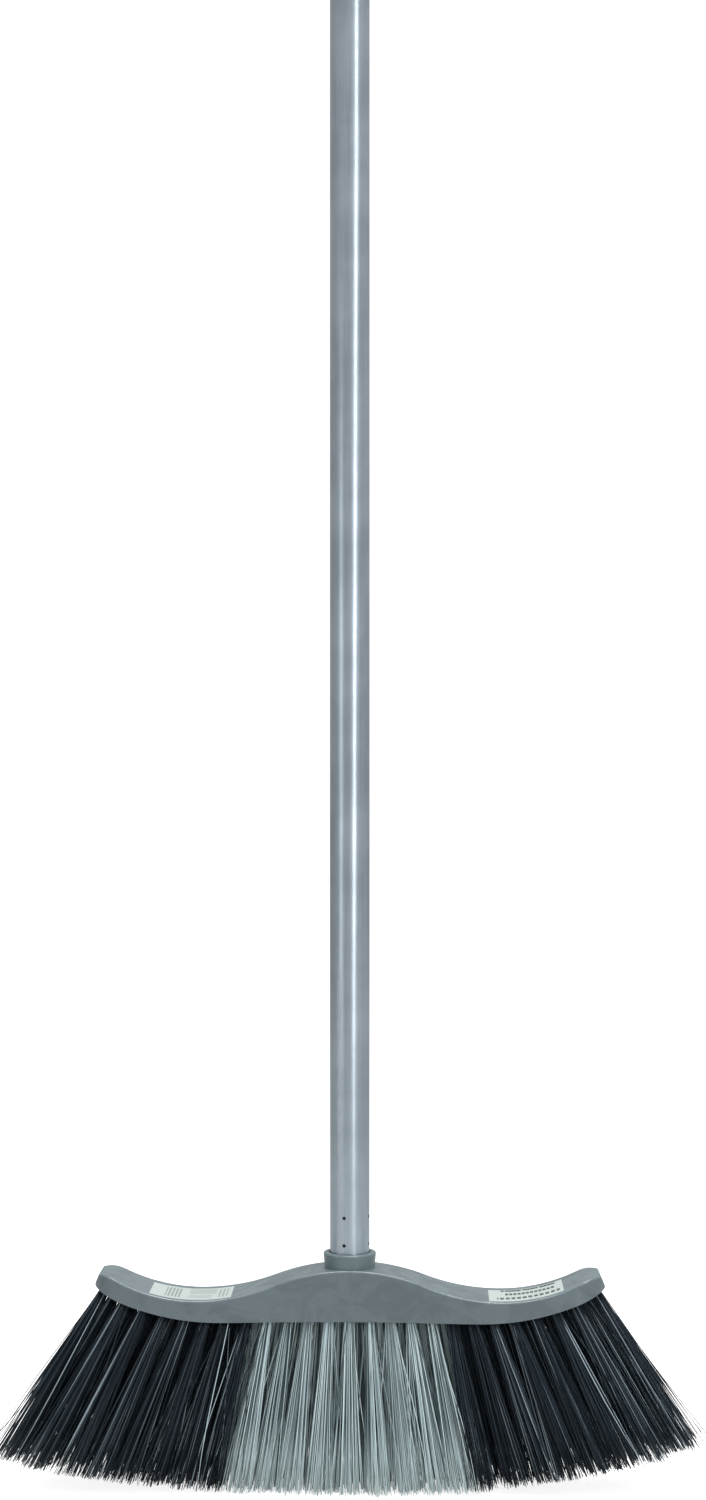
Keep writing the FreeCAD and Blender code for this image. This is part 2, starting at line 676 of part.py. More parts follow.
add_block()
add_socket()
add_label("label_left", "left_label_inner", "left_label_outer", 180)
add_label("label_right", "right_label_inner", "right_label_outer", 0)
add_tufts()
add_anchors()
punches = stakes()
add_tube(punches)
add_tip(punches)
add_plug()
add_hanger()
doc.recompute()

# ---- checks and export ----
for thing in doc.Objects:
    if "Invalid" in thing.State or "Error" in thing.State:
        raise RuntimeError("failed: %s (%s)" % (thing.Label, thing.State))
for thing in nodes:
    if thing.Shape.isNull() or not thing.Shape.isValid():
        raise RuntimeError("bad shape: " + thing.Label)

os.makedirs("parts", exist_ok=True)
for thing in nodes:
    thing.Shape.exportStep("parts/%s.step" % thing.Label)
    box = thing.Shape.optimalBoundingBox()
    print("%-26s %3d solids  volume %10.1f  x %7.1f %7.1f  y %6.1f %6.1f  z %7.1f %7.1f"
          % (thing.Label, len(thing.Shape.Solids), thing.Shape.Volume,
             box.XMin, box.XMax, box.YMin, box.YMax, box.ZMin, box.ZMax))
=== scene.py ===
import math

import bpy
import numpy as np
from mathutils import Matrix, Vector


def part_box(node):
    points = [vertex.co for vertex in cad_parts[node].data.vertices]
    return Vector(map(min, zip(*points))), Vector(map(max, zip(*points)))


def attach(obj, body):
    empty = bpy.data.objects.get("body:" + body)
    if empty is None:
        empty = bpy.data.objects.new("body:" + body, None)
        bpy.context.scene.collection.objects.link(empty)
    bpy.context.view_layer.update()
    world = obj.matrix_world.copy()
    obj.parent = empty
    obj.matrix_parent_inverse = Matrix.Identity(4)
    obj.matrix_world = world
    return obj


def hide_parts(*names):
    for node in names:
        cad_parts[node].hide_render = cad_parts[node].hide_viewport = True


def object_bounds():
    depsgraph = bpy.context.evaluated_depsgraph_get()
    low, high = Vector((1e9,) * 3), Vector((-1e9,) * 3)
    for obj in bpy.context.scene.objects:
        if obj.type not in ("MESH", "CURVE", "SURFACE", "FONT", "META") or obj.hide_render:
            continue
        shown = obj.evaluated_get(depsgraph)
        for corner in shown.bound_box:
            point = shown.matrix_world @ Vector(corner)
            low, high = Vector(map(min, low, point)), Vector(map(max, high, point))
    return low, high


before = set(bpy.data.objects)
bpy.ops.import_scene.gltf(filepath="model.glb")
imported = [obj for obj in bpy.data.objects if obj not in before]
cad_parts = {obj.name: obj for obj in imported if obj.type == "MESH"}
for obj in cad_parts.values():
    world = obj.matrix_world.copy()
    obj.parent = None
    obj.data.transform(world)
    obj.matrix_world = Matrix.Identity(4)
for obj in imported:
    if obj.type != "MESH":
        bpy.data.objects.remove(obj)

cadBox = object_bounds()
mm = 0.001
print("frame loaded:", len(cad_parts), "nodes")


# small tools

def linearColour(hexValue):
    # sRGB hex to the linear values that the shader wants
    parts = [int(hexValue[i:i + 2], 16) / 255 for i in (1, 3, 5)]
    linear = [p / 12.92 if p <= 0.04045 else ((p + 0.055) / 1.055) ** 2.4 for p in parts]
    return (*linear, 1.0)


def setInputs(owner, node, inputs):
    # an input takes a value, a hex colour, a node (for its first output) or (node, output)
    for socket, value in inputs.items():
        if isinstance(value, bpy.types.Node):
            value = (value, 0)
        if isinstance(value, tuple) and isinstance(value[0], bpy.types.Node):
            owner.node_tree.links.new(value[0].outputs[value[1]], node.inputs[socket])
        else:
            value = linearColour(value) if isinstance(value, str) else value
            node.inputs[socket].default_value = value


def addNode(owner, kind, inputs=None, **settings):
    # owner is the material or the world that the node goes into
    node = owner.node_tree.nodes.new("ShaderNode" + kind)
    for name, value in settings.items():
        setattr(node, name, value)
    setInputs(owner, node, inputs or {})
    return node


def newMaterial(name, inputs):
    # inputs are the shader's own; a metal leaves the IOR out
    material = bpy.data.materials.new(name)
    material.use_nodes = True
    shader = material.node_tree.nodes["Principled BSDF"]
    setInputs(material, shader, inputs)
    return material, shader


def wear(cadNode, material):
    # the CAD node keeps its shape and takes this finish
    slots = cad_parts[cadNode].data.materials
    slots.clear()
    slots.append(material)


smooth = {"interpolation_type": "SMOOTHSTEP"}    # for Map Range
colours = {"data_type": "RGBA"}                  # for Mix: colours go in at 6 and 7, out at 2


# block and small fittings: moulded polypropylene

blockLook = {
    "colour": "#647176",          # mid grey with a little blue
    "streakColour": "#5b676c",
    "speckColour": "#434b4f",
    "roughness": 0.33,
    "glossiest": -0.06,           # the flow marks' roughness against that, where noise is low
    "dullest": 0.08,              # and where it is high
    "glossEdge": (0.3, 0.7),      # those noise levels
    "swirlSize": 22 * mm,         # flow marks left by the melt
    "swirlBend": 30 * mm,         # how far the marks are pushed sideways
    "swirlEdge": (0.42, 0.62),    # noise level where a streak starts, and where it is full
    "swirlHeight": 3.0,           # against the grain
    "speckSpacing": 9 * mm,       # specks of another pigment, one in a cell this wide
    "speckEdge": (0.045, 0.03),   # outer and inner edge of a speck, as shares of the spacing
    "grainSize": 0.5 * mm,
    "grainDepth": 0.05 * mm,
    "grainStrength": 0.25,
}
socketLook = dict(blockLook, colour="#66767a", streakColour="#5f6f72", roughness=0.28)
plugLook = dict(blockLook, colour="#606b70", streakColour="#5a656a", swirlSize=9 * mm)
hangerLook = dict(plugLook, roughness=0.34)
tipLook = dict(blockLook, colour="#3a3f42", streakColour="#33383b", speckColour="#2b2f31",
               swirlSize=8 * mm, roughness=0.4)


def mouldedPolypropylene(name, look):
    # moulded polypropylene: satin skin, faint flow marks where the melt folded, a few dark specks
    roughness = look["roughness"]
    material, shader = newMaterial(name, {"IOR": 1.49, "Metallic": 0.0, "Roughness": roughness})
    place = (addNode(material, "TexCoord"), "Object")
    bend = addNode(material, "TexNoise",
                   {"Vector": place, "Scale": 1 / (2 * look["swirlSize"]), "Detail": 2.0})
    warp = addNode(material, "VectorMath",
                   {0: (bend, "Color"), 1: (look["swirlBend"],) * 3, 2: place},
                   operation="MULTIPLY_ADD")
    flow = addNode(material, "TexNoise",
                   {"Vector": warp, "Scale": 1 / look["swirlSize"], "Detail": 5.0,
                    "Roughness": 0.6, "Distortion": 1.6})
    bands = addNode(material, "MapRange", {"Value": flow, "From Min": look["swirlEdge"][0],
                                           "From Max": look["swirlEdge"][1]}, **smooth)
    streaks = addNode(material, "Mix", {"Factor": bands, 6: look["colour"],
                                        7: look["streakColour"]}, **colours)
    specks = addNode(material, "TexVoronoi", {"Vector": place, "Scale": 1 / look["speckSpacing"],
                                              "Randomness": 1.0})
    dots = addNode(material, "MapRange", {"Value": specks, "From Min": look["speckEdge"][0],
                                          "From Max": look["speckEdge"][1]}, **smooth)
    body = addNode(material, "Mix", {"Factor": dots, 6: (streaks, 2), 7: look["speckColour"]},
                   **colours)
    # the same flow marks stand up a little in the grain and change the gloss
    grain = addNode(material, "TexNoise",
                    {"Vector": place, "Scale": 1 / look["grainSize"], "Detail": 2.0})
    uneven = addNode(material, "Math", {0: flow, 1: look["swirlHeight"], 2: grain},
                     operation="MULTIPLY_ADD")
    relief = addNode(material, "Bump", {"Strength": look["grainStrength"],
                                        "Distance": look["grainDepth"], "Height": uneven})
    gloss = addNode(material, "MapRange",
                    {"Value": flow, "From Min": look["glossEdge"][0],
                     "From Max": look["glossEdge"][1], "To Min": roughness + look["glossiest"],
                     "To Max": roughness + look["dullest"]}, **smooth)
    setInputs(material, shader, {"Base Color": (body, 2), "Normal": relief, "Roughness": gloss})
    return material


for cadNode, name, look in (
        ("broom_block", "foamedPolypropyleneGrey", blockLook),
        ("handle_socket", "threadedSocketPolypropylene", socketLook),
        ("end_plug", "endPlugPolypropylene", plugLook),
        ("hanger_eye", "hangerPolypropylene", hangerLook),
        ("threaded_tip", "threadedTipNylon", tipLook)):
    wear(cadNode, mouldedPolypropylene(name, look))
print("moulded pieces finished")


# handle: steel tube with a silver-grey coating

tubeLook = {
    "colour": "#aab6bf",
    "shadeColour": "#98a4ad",
    "metallic": 0.62,
    "roughness": 0.3,
    "drawnLine": 1.2 * mm,     # lines that drawing leaves along the tube; real ones are finer
    "drawnStretch": 0.02,      # lengthwise scale of the pattern, small for long lines
    "lineShare": 0.5,          # strength of the lines against the mottle
    "mottleSize": 30 * mm,
    "toneEdge": (0.55, 0.95),  # lines and mottle together: shaded below, full colour above
    "seamAndGlintColour": "#b3bac0",
    "seamRoughness": 0.6,
    "seamAngle": -117.0,       # degrees from +X, a little left of the front
    "seamHalfWidth": 7.5,      # degrees
    "seamEdge": (1.5, 0.6),    # where it starts and where it is full, in half widths
    "seamHeight": 215 * mm,    # how far up from the tube's foot the rough seam shows
    "seamFull": 0.3,           # share of that height where it is full
    "seamPatch": (0.4, 0.6),   # noise levels: smooth below the first, rough above the second
    "seamFlake": 1.6 * mm,
    "seamStretch": 0.3,        # the flakes are longer than wide
    "seamWander": 0.16,        # radians that its edges wander
    "seamRelief": 4.0,         # height of a flake against the depth of a stake's dent
    "stakeAngle": -105.0,      # degrees from +X of the first stake in each ring of four
    "stakeLow": 10.6 * mm,     # lower ring above the tube's foot
    "stakeSpacing": 15.2 * mm,
    "stakeDent": (0.3 * mm, 1.9 * mm),    # radius of the dent's floor, and of its rim
    "pitShadeRadius": 0.75 * mm,     # radius of the painted shade in the dent's pit
    "pitEdge": 1.5,            # where its soft edge starts, in pit radii
    "paintedPitShade": "#171b1e",
    "reliefDepth": 0.15 * mm,  # of dents and flakes together
    "reliefStrength": 0.5,
}


def coatedSteelTube(look):
    # cold-drawn tube in a satin metallic coating: soft long highlights, and one rough seam
    tubeFoot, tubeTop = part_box("handle_tube")
    material, shader = newMaterial("coatedSteelTube", {"Metallic": look["metallic"],
                                                       "Roughness": look["roughness"]})
    place = (addNode(material, "TexCoord"), "Object")
    axes = addNode(material, "SeparateXYZ", {"Vector": place})
    turn = addNode(material, "Math", {0: (axes, "Y"), 1: (axes, "X")}, operation="ARCTAN2")

    # coating: fine drawn lines over a broad mottle
    drawn = addNode(material, "Mapping", {"Vector": place,
                                          "Scale": (1.0, 1.0, look["drawnStretch"])})
    lines = addNode(material, "TexNoise",
                    {"Vector": drawn, "Scale": 1 / look["drawnLine"], "Detail": 3.0})
    mottle = addNode(material, "TexNoise",
                     {"Vector": place, "Scale": 1 / look["mottleSize"], "Detail": 4.0})
    tone = addNode(material, "Math", {0: lines, 1: look["lineShare"], 2: mottle},
                   operation="MULTIPLY_ADD")
    shade = addNode(material, "MapRange", {"Value": tone, "From Min": look["toneEdge"][0],
                                           "From Max": look["toneEdge"][1]}, **smooth)
    paint = addNode(material, "Mix", {"Factor": shade, 6: look["shadeColour"],
                                      7: look["colour"]}, **colours)

    # seam: a ragged band whose edges wander, roughest and palest near the collar; its paler
    # colour is partly real and partly a painted glint of the wrinkled coating
    ragged = addNode(material, "Mapping", {"Vector": place,
                                           "Scale": (1.0, 1.0, look["seamStretch"])})
    flakes = addNode(material, "TexNoise", {"Vector": ragged, "Scale": 1 / look["seamFlake"],
                                            "Detail": 6.0, "Roughness": 0.7})
    away = addNode(material, "Math", {0: turn, 1: math.radians(look["seamAngle"])},
                   operation="SUBTRACT")
    wander = addNode(material, "Math", {0: flakes, 1: look["seamWander"], 2: away},
                     operation="MULTIPLY_ADD")
    offset = addNode(material, "Math", {0: wander}, operation="ABSOLUTE")
    halfWidth = math.radians(look["seamHalfWidth"])
    band = addNode(material, "MapRange",
                   {"Value": offset, "From Min": look["seamEdge"][0] * halfWidth,
                    "From Max": look["seamEdge"][1] * halfWidth}, **smooth)
    fade = addNode(material, "MapRange",
                   {"Value": (axes, "Z"), "From Min": tubeFoot.z + look["seamHeight"],
                    "From Max": tubeFoot.z + look["seamFull"] * look["seamHeight"]}, **smooth)
    patchy = addNode(material, "MapRange", {"Value": flakes, "From Min": look["seamPatch"][0],
                                            "From Max": look["seamPatch"][1]}, **smooth)
    seam = addNode(material, "Math", {0: band, 1: fade}, operation="MULTIPLY")
    rough = addNode(material, "Math", {0: seam, 1: patchy}, operation="MULTIPLY")
    flaked = addNode(material, "Math", {0: seam, 1: flakes}, operation="MULTIPLY")
    # partly painted glint: the seam is coloured paler than the coating
    seamed = addNode(material, "Mix", {"Factor": rough, 6: (paint, 2), 7: look["seamAndGlintColour"]},
                     **colours)

    # stakes: the turn is folded into one quarter and the height about the rings' middle, so
    # one dent stands for all eight
    quarter = math.radians(90)
    toFirst = 2 * math.radians(360) + quarter / 2 - math.radians(look["stakeAngle"])
    sector = addNode(material, "Math", {0: turn, 1: toFirst}, operation="ADD")
    folded = addNode(material, "Math", {0: sector, 1: quarter}, operation="MODULO")
    across = addNode(material, "Math", {0: folded, 1: quarter / 2}, operation="SUBTRACT")
    width = addNode(material, "Math", {0: across, 1: tubeTop.x}, operation="MULTIPLY")
    halfSpacing = look["stakeSpacing"] / 2
    middle = tubeFoot.z + look["stakeLow"] + halfSpacing
    fromMiddle = addNode(material, "Math", {0: (axes, "Z"), 1: middle}, operation="SUBTRACT")
    either = addNode(material, "Math", {0: fromMiddle}, operation="ABSOLUTE")
    height = addNode(material, "Math", {0: either, 1: halfSpacing}, operation="SUBTRACT")
    widthSquared = addNode(material, "Math", {0: width, 1: width}, operation="MULTIPLY")
    sumSquared = addNode(material, "Math", {0: height, 1: height, 2: widthSquared},
                         operation="MULTIPLY_ADD")
    distance = addNode(material, "Math", {0: sumSquared}, operation="SQRT")
    dent = addNode(material, "MapRange", {"Value": distance, "From Min": look["stakeDent"][0],
                                          "From Max": look["stakeDent"][1]}, **smooth)
    # painted shade: the pit in the middle of each dent is coloured dark
    pitShade = addNode(material, "MapRange",
                  {"Value": distance, "From Min": look["pitEdge"] * look["pitShadeRadius"],
                   "From Max": look["pitShadeRadius"]}, **smooth)
    pitShaded = addNode(material, "Mix", {"Factor": pitShade, 6: (seamed, 2), 7: look["paintedPitShade"]},
                     **colours)

    surface = addNode(material, "Math", {0: flaked, 1: look["seamRelief"], 2: dent},
                      operation="MULTIPLY_ADD")
    relief = addNode(material, "Bump", {"Strength": look["reliefStrength"],
                                        "Distance": look["reliefDepth"], "Height": surface})
    gloss = addNode(material, "MapRange", {"Value": rough, "To Min": look["roughness"],
                                           "To Max": look["seamRoughness"]}, **smooth)
    setInputs(material, shader, {"Base Color": (pitShaded, 2), "Normal": relief,
                                 "Roughness": gloss})
    return material


wear("handle_tube", coatedSteelTube(tubeLook))
print("handle finished")


# labels: coated paper with neutral bars and dashes where a real label is printed

labelLook = {
    "paper": "#a9b4b1",
    "roughness": 0.38,
    "inkEdge": 0.15 * mm,      # softness of the printed edges
    "stepEdge": 0.05,          # the same within a block, as a share of its step
    "fibreSize": 0.8 * mm,
    "fibreDepth": 0.03 * mm,
    "fibreStrength": 0.15,
    # printed blocks: from and to along the label, from and to across it, step, all in mm from
    # the front left corner; share of the step that is inked; which way the steps run; ink
    "bars": [(8.0, 16.5, 4.0, 27.0, 1.9, 0.55, "X", "#7d8884"),
             (21.0, 36.0, 15.0, 27.0, 2.6, 0.4, "Y", "#77827e"),
             (21.0, 34.0, 5.0, 12.0, 2.6, 0.4, "Y", "#838e8a"),
             (37.5, 42.5, 5.0, 26.0, 2.2, 0.45, "X", "#818c88")],
    "dashes": [(7.0, 37.0, 25.4, 28.8, 9.5, 0.93, "X", "#2f3a35"),
               (9.0, 36.5, 15.8, 20.8, 2.3, 0.76, "X", "#414c47"),
               (4.5, 39.0, 5.0, 10.0, 3.1, 0.7, "X", "#424d48")],
}


def printedPaper(name, cadNode, look, blocks):
    # coated paper: satin and slightly uneven, with flat ink on it
    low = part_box(cadNode)[0]
    material, shader = newMaterial(name, {"IOR": 1.5, "Metallic": 0.0,
                                          "Roughness": look["roughness"]})
    place = (addNode(material, "TexCoord"), "Object")
    corner = addNode(material, "Mapping", {"Vector": place, "Location": (-low.x, -low.y, 0.0)})
    axes = addNode(material, "SeparateXYZ", {"Vector": corner})
    edge, soft = look["inkEdge"], look["stepEdge"]
    printed = look["paper"]
    for left, right, front, back, step, share, way, ink in blocks:
        # mark is 1 inside the block's four sides, then only on the inked part of each step
        mark = None
        for axis, start, stop in (("X", left, right), ("Y", front, back)):
            for limit, side in ((start * mm, edge), (stop * mm, -edge)):
                ramp = addNode(material, "MapRange",
                               {"Value": (axes, axis), "From Min": limit - side,
                                "From Max": limit + side}, **smooth)
                mark = ramp if mark is None else addNode(material, "Math", {0: mark, 1: ramp},
                                                         operation="MULTIPLY")
        steps = addNode(material, "Math", {0: (axes, way), 1: step * mm}, operation="DIVIDE")
        phase = addNode(material, "Math", {0: steps}, operation="FRACT")
        ticks = addNode(material, "MapRange", {"Value": phase, "From Min": share + soft,
                                               "From Max": share - soft}, **smooth)
        mark = addNode(material, "Math", {0: mark, 1: ticks}, operation="MULTIPLY")
        printed = (addNode(material, "Mix", {"Factor": mark, 6: printed, 7: ink}, **colours), 2)
    fibres = addNode(material, "TexNoise",
                     {"Vector": place, "Scale": 1 / look["fibreSize"], "Detail": 4.0})
    relief = addNode(material, "Bump", {"Strength": look["fibreStrength"],
                                        "Distance": look["fibreDepth"], "Height": fibres})
    setInputs(material, shader, {"Base Color": printed, "Normal": relief})
    return material


wear("label_right", printedPaper("labelPaperDashes", "label_right", labelLook,
                                 labelLook["dashes"]))
wear("label_left", printedPaper("labelPaperBars", "label_left", labelLook, labelLook["bars"]))
print("labels finished")


# anchors: flat steel wire, pressed into the holes

wireLook = {
    "colour": "#c9ccd0",
    "shadeColour": "#a9acb0",
    "roughness": 0.35,
    "scratchSize": 0.3 * mm,   # coarser than real ones, so that they show
}
rows = ("front", "inner_front", "inner_back", "back")


def drawnSteelWire(look):
    # drawn low-carbon wire: bright, dulled by fine scratches
    material, shader = newMaterial("flatSteelWire", {"Metallic": 1.0,
                                                     "Roughness": look["roughness"]})
    place = (addNode(material, "TexCoord"), "Object")
    scratches = addNode(material, "TexNoise",
                        {"Vector": place, "Scale": 1 / look["scratchSize"], "Detail": 3.0})
    body = addNode(material, "Mix", {"Factor": scratches, 6: look["shadeColour"],
                                     7: look["colour"]}, **colours)
    setInputs(material, shader, {"Base Color": (body, 2)})
    return material


steelWire = drawnSteelWire(wireLook)
for row in rows:
    wear("anchors_" + row, steelWire)
print("anchors finished")


# bristles: extruded polypropylene filament, bundled into tufts

filament = {
    "perTuft": 82,
    "diameter": 0.54 * mm,
    "thickness": (0.85, 1.15),  # thinnest and thickest strand against that
    "sides": 4,
    "rings": 5,
    "tipWidth": 0.7,            # the cut tip against the strand
    "packRadius": 2.25 * mm,    # bundle in its hole
    "anchorDepth": 7.4 * mm,    # from the hole's mouth up to the middle of an anchor
    "anchorReach": 6.6 * mm,    # points of one anchor are nearer to each other than this
    "rootDepth": 6.0 * mm,      # start of the visible strands inside the hole
    "spread": 7.6 * mm,         # radius of a tuft at its tips
    "lean": 1.2 * mm,           # how far a whole tuft leans at its tips
    "wander": 1.7 * mm,         # how far a tip strays from its even place
    "wanderMost": 2,            # times that, at most
    "wanderDepth": 0.6,         # share of it to the front and back
    "bow": 0.7 * mm,            # sideways bow of a strand
    "strayShare": 0.06,
    "straySpread": 8.5 * mm,    # wander of a stray
    "strayBow": 3.0,            # its bow against the others'
    "strayHighlight": 0.08,          # painted highlight: a stray's tone is raised a little
    "overhang": 7.0 * mm,       # furthest that a stray reaches past the modelled tufts
    "overhangDepth": 0.5 * mm,  # the same, to the front and back
    "trimRadius": 850 * mm,     # arc that the tips are cut to
    "trimSkew": 5.0 * mm,       # left end longer and right end shorter by this much
    "ragged": 0.75 * mm,        # mean shortness of a strand, and the most it can be
    "raggedMost": 4.0 * mm,
    "lightHalfWidth": 52 * mm,  # tufts rooted nearer to the handle than this are light
    "paleTipFrom": 0.6,            # share of a strand's length where its tip starts to turn paler
    "firstSeed": 11,            # random draws of the first row's left zone
    "seedStep": 10,             # to the next row; zones follow each other by one
    "highlightTint": "#b6cadb",  # both colours shine a little bluish
    "bodyEdge": (0.0, 0.6),     # a strand's tone, 0 to 1: painted shade turns to body between these
    "paintedHighlightEdge": (0.5, 0.95),  # and body to painted highlight between these
    # tones: beta spread of the strands' tones; paling: share of the painted highlight colour that
    # the tip turns to
    "black": {"paintedShade": "#11171d", "body": "#323c44", "paintedHighlight": "#bfd0d8", "roughness": 0.26,
              "tones": (0.8, 2.2), "paling": 0.0},
    "grey": {"paintedShade": "#3c4d52", "body": "#cde0e3", "paintedHighlight": "#e8fafb", "roughness": 0.28,
             "tones": (0.9, 1.4), "paling": 0.8},
}


def filamentPlastic(name, look):
    # extruded filament: smooth and glossy, each strand its own tone from a painted shade through
    # its body colour to a painted highlight, paler towards the tip
    material, shader = newMaterial(name, {"IOR": 1.5, "Metallic": 0.0,
                                          "Roughness": look["roughness"],
                                          "Specular Tint": filament["highlightTint"]})
    tone = (addNode(material, "Attribute", attribute_name="strandTone"), "Fac")
    along = (addNode(material, "Attribute", attribute_name="strandLength"), "Fac")
    low = addNode(material, "MapRange", {"Value": tone, "From Min": filament["bodyEdge"][0],
                                         "From Max": filament["bodyEdge"][1]}, **smooth)
    high = addNode(material, "MapRange", {"Value": tone, "From Min": filament["paintedHighlightEdge"][0],
                                          "From Max": filament["paintedHighlightEdge"][1]}, **smooth)
    # painted shade and painted highlight: dark strands are a shaded copy of the body colour, the
    # brightest a lit copy
    shadedBody = addNode(material, "Mix", {"Factor": low, 6: look["paintedShade"], 7: look["body"]}, **colours)
    clear = addNode(material, "Mix", {"Factor": high, 6: (shadedBody, 2), 7: look["paintedHighlight"]},
                    **colours)
    # the tip turns paler, towards the painted highlight colour
    worn = addNode(material, "MapRange", {"Value": along, "From Min": filament["paleTipFrom"],
                                          "From Max": 1.0, "To Max": look["paling"]}, **smooth)
    tipped = addNode(material, "Mix", {"Factor": worn, 6: (clear, 2), 7: look["paintedHighlight"]},
                     **colours)
    setInputs(material, shader, {"Base Color": (tipped, 2)})
    return material


def modelStrand():
    # one strand, unit length, standing on the origin: a thin rod cut into rings, its tip drawn in
    bpy.ops.object.select_all(action="DESELECT")
    bpy.ops.mesh.primitive_cylinder_add(vertices=filament["sides"], radius=1.0, depth=1.0,
                                        end_fill_type="NGON", location=(0, 0, 0.5))
    strand = bpy.context.object
    bpy.ops.object.transform_apply(location=True, rotation=True, scale=True)
    for ring in range(1, filament["rings"]):
        bpy.ops.object.mode_set(mode="EDIT")
        bpy.ops.mesh.select_all(action="SELECT")
        bpy.ops.mesh.bisect(plane_co=(0, 0, ring / filament["rings"]), plane_no=(0, 0, 1))
        bpy.ops.object.mode_set(mode="OBJECT")
    justBelowTop = 0.999
    for vertex in strand.data.vertices:
        vertex.select = vertex.co.z > justBelowTop
    bpy.ops.object.mode_set(mode="EDIT")
    bpy.ops.mesh.select_mode(type="VERT")
    bpy.ops.transform.resize(value=(filament["tipWidth"], filament["tipWidth"], 1.0))
    bpy.ops.object.mode_set(mode="OBJECT")
    template = np.array([v.co for v in strand.data.vertices])
    faces = [list(p.vertices) for p in strand.data.polygons]
    bpy.data.objects.remove(strand)
    return template, faces


def tuftRoots(anchorNode):
    # each anchor is a small bar across a hole: its centre and its thin direction give the tuft
    points = np.array([v.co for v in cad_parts[anchorNode].data.vertices])
    bars = []
    for point in points:
        for bar in bars:
            if np.linalg.norm(bar[0] - point) < filament["anchorReach"]:
                bar.append(point)
                break
        else:
            bars.append([point])
    tufts = []
    for bar in bars:
        corners = np.unique(np.round(np.array(bar), 7), axis=0)    # to a ten-thousandth of a mm
        centre = (corners.min(0) + corners.max(0)) / 2
        direction = np.linalg.svd(corners - corners.mean(0))[2][2]
        tufts.append((centre, direction if direction[2] < 0 else -direction))
    return sorted(tufts, key=lambda tuft: tuft[0][0])


def trimDistance(start, direction):
    # how far along direction the strand meets the trimmed arc
    radius = filament["trimRadius"]
    offset = np.array([start[0], start[2] - radius])
    step = np.array([direction[0], direction[2]])
    a = step @ step
    b = 2 * offset @ step
    c = offset @ offset - radius ** 2
    return (-b + math.sqrt(b * b - 4 * a * c)) / (2 * a)


def crossDirections(along):
    # square to along and to each other: one in the plane of the broom, one through its depth
    inPlane = np.cross(along, (0.0, 1.0, 0.0))
    inPlane /= np.linalg.norm(inPlane)
    return inPlane, np.cross(along, inPlane)


def bundle(tuft, template, tones, rng):
    # one tuft's strands: packed at the root, spreading and bowing on the way to the trim
    centre, axis = tuft
    side, depth = crossDirections(axis)
    count = filament["perTuft"]
    goldenAngle = math.radians(137.508)    # fills the round bundle evenly
    fullTurn, quarterTurn = 6.28, 1.57     # radians, for turning at random
    angle = np.arange(count) * goldenAngle + rng.uniform(0, fullTurn)
    reach = np.sqrt((np.arange(count) + 0.5) / count)
    root = centre + axis * (filament["anchorDepth"] - filament["rootDepth"])
    length = trimDistance(root, axis)
    lean = rng.normal(0, filament["lean"], 2)
    widest = cadBox[1].x + filament["overhang"]
    deepest = cadBox[1].y + filament["overhangDepth"]
    share = template[:, 2]
    curve = np.sin(math.pi * share) * share
    strands, shades = [], []
    for index in range(count):
        spot = np.array([math.cos(angle[index]), math.sin(angle[index])]) * reach[index]
        stray = rng.random() < filament["strayShare"]
        wander = np.clip(rng.normal(0, 1, 2), -filament["wanderMost"], filament["wanderMost"])
        wander = wander * filament["straySpread" if stray else "wander"]
        end = spot * filament["spread"] + lean + wander * (1.0, filament["wanderDepth"])
        start = root + (side * spot[0] + depth * spot[1]) * filament["packRadius"]
        tip = root + axis * length + side * end[0] + depth * end[1]
        tip[0] = min(max(tip[0], -widest), widest)
        tip[1] = min(max(tip[1], -deepest), deepest)
        way = (tip - start) / np.linalg.norm(tip - start)
        worn = min(rng.exponential(filament["ragged"]), filament["raggedMost"])
        skew = filament["trimSkew"] * tip[0] / widest
        cut = trimDistance(start, way) - worn - skew * abs(tip[0]) / widest
        bow = rng.normal(0, filament["bow"] * (filament["strayBow"] if stray else 1.0), 2)
        across, inward = crossDirections(way)
        thick = filament["diameter"] / 2 * rng.uniform(*filament["thickness"])
        spin = rng.uniform(0, quarterTurn)
        cosine, sine = math.cos(spin), math.sin(spin)
        localX = (template[:, 0] * cosine - template[:, 1] * sine) * thick + curve * bow[0]
        localY = (template[:, 0] * sine + template[:, 1] * cosine) * thick + curve * bow[1]
        strands.append(start + np.outer(share * cut, way) + np.outer(localX, across)
                       + np.outer(localY, inward))
        # a stray's tone is raised: painted highlight
        shades.append(min(rng.beta(*tones) + filament["strayHighlight"] * stray, 1.0))
    points = np.concatenate(strands)
    points[:, 2] = np.maximum(points[:, 2], 0.0)    # nothing below the floor
    return points, shades


def mapStrands(mesh, template, count):
    # every strand has its own small cell of the map, and stays inside these margins of it
    acrossMargin, alongMargin = 0.15, 0.1
    cells = math.ceil(math.sqrt(count))
    corner = np.zeros(len(mesh.loops), np.int64)
    mesh.loops.foreach_get("vertex_index", corner)
    strand, vertex = np.divmod(corner, len(template))
    turn = (np.arctan2(template[:, 1], template[:, 0]) / (2 * math.pi)) % 1.0
    across = acrossMargin + (1 - 2 * acrossMargin) * turn[vertex]
    along = alongMargin + (1 - 2 * alongMargin) * template[vertex, 2]
    uv = np.stack([(strand % cells + across) / cells, (strand // cells + along) / cells], 1)
    layer = mesh.uv_layers.new(name="OFBake")
    layer.data.foreach_set("uv", uv.astype(np.float32).ravel())


